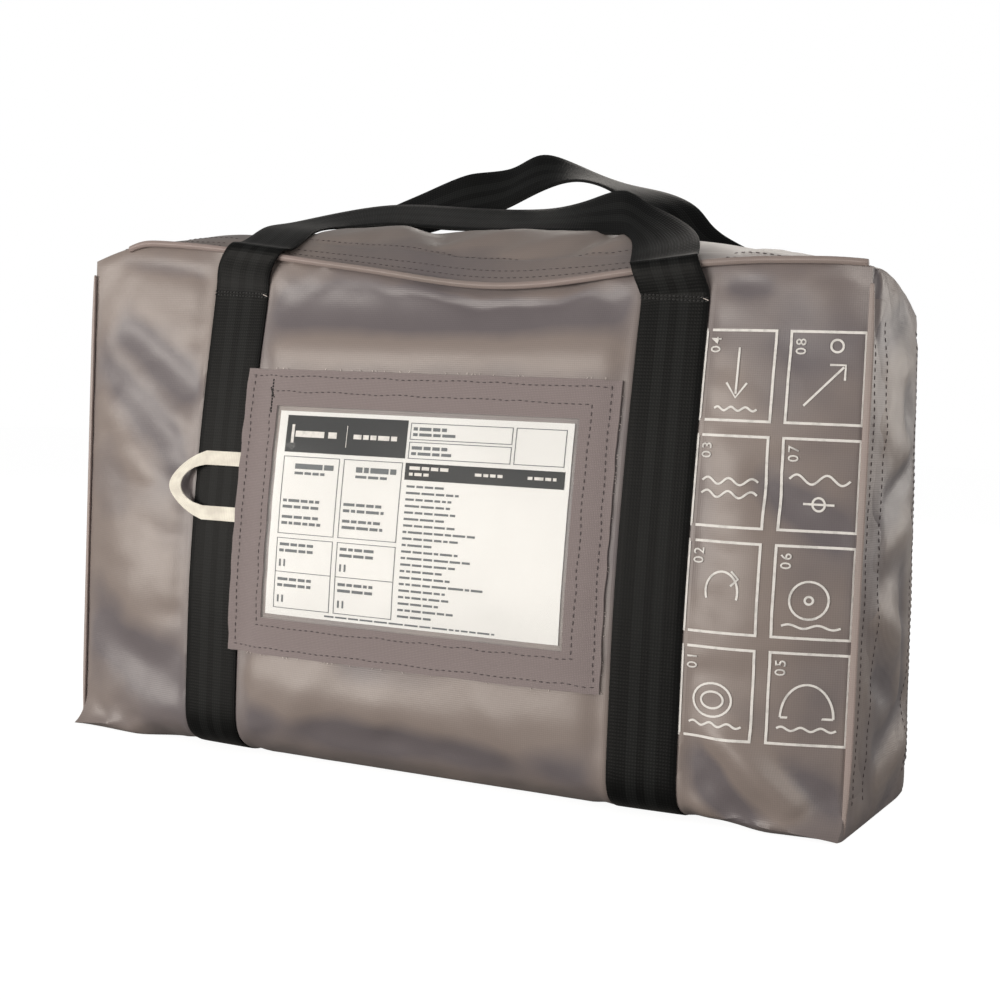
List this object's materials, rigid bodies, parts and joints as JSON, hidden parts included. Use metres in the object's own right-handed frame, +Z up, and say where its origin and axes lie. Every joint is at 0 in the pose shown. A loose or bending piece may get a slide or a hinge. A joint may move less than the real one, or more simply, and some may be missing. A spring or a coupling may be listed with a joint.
{
  "type": "liferaft valise",
  "caption": "Soft carrying valise of a packed liferaft, with webbing belts that run on into carrying handles, a windowed document pocket and a pull loop.",
  "frame": {"origin": "on the floor under the middle of the bounding box", "axes": "+Z up, +X along the long side to the right seen from the printed front, the printed front faces -Y"},
  "size_m": [0.6664, 0.2312, 0.4927],
  "materials": {
    "fabric": "satin coated cloth",
    "fabric_edge": "satin coated cloth, light",
    "fabric_band": "satin coated cloth, dark",
    "webbing": "matt woven webbing",
    "pocket": "satin coated cloth",
    "film": "clear film",
    "card": "printed card",
    "dark_ink": "ink",
    "grey_ink": "ink",
    "pale_ink": "screen print",
    "tape": "woven tape"
  },
  "bodies": {
    "root": {"packed_valise": "fabric", "front_belt_and_handle": "webbing", "back_belt_and_handle": "webbing", "top_edge_welt": "fabric_edge", "top_hem": "fabric", "left_front_flange": "fabric_edge", "right_front_flange": "fabric_edge", "left_back_flange": "fabric_edge", "right_back_flange": "fabric_edge", "left_gusset_front_band": "fabric_band", "left_gusset_back_band": "fabric_band", "right_gusset_front_band": "fabric_band", "right_gusset_back_band": "fabric_band", "document_pocket": "pocket", "pocket_window": "film", "label_card": "card", "label_header_block": "dark_ink", "label_list_bar": "dark_ink", "label_form_boxes": "grey_ink", "label_serial_boxes": "grey_ink", "pull_loop": "tape", "print_square_1": "pale_ink", "print_motif_1": "pale_ink", "print_square_2": "pale_ink", "print_motif_2": "pale_ink", "print_square_3": "pale_ink", "print_motif_3": "pale_ink", "print_square_4": "pale_ink", "print_motif_4": "pale_ink", "print_square_5": "pale_ink", "print_motif_5": "pale_ink", "print_square_6": "pale_ink", "print_motif_6": "pale_ink", "print_square_7": "pale_ink", "print_motif_7": "pale_ink", "print_square_8": "pale_ink", "print_motif_8": "pale_ink"}
  },
  "joints": []
}
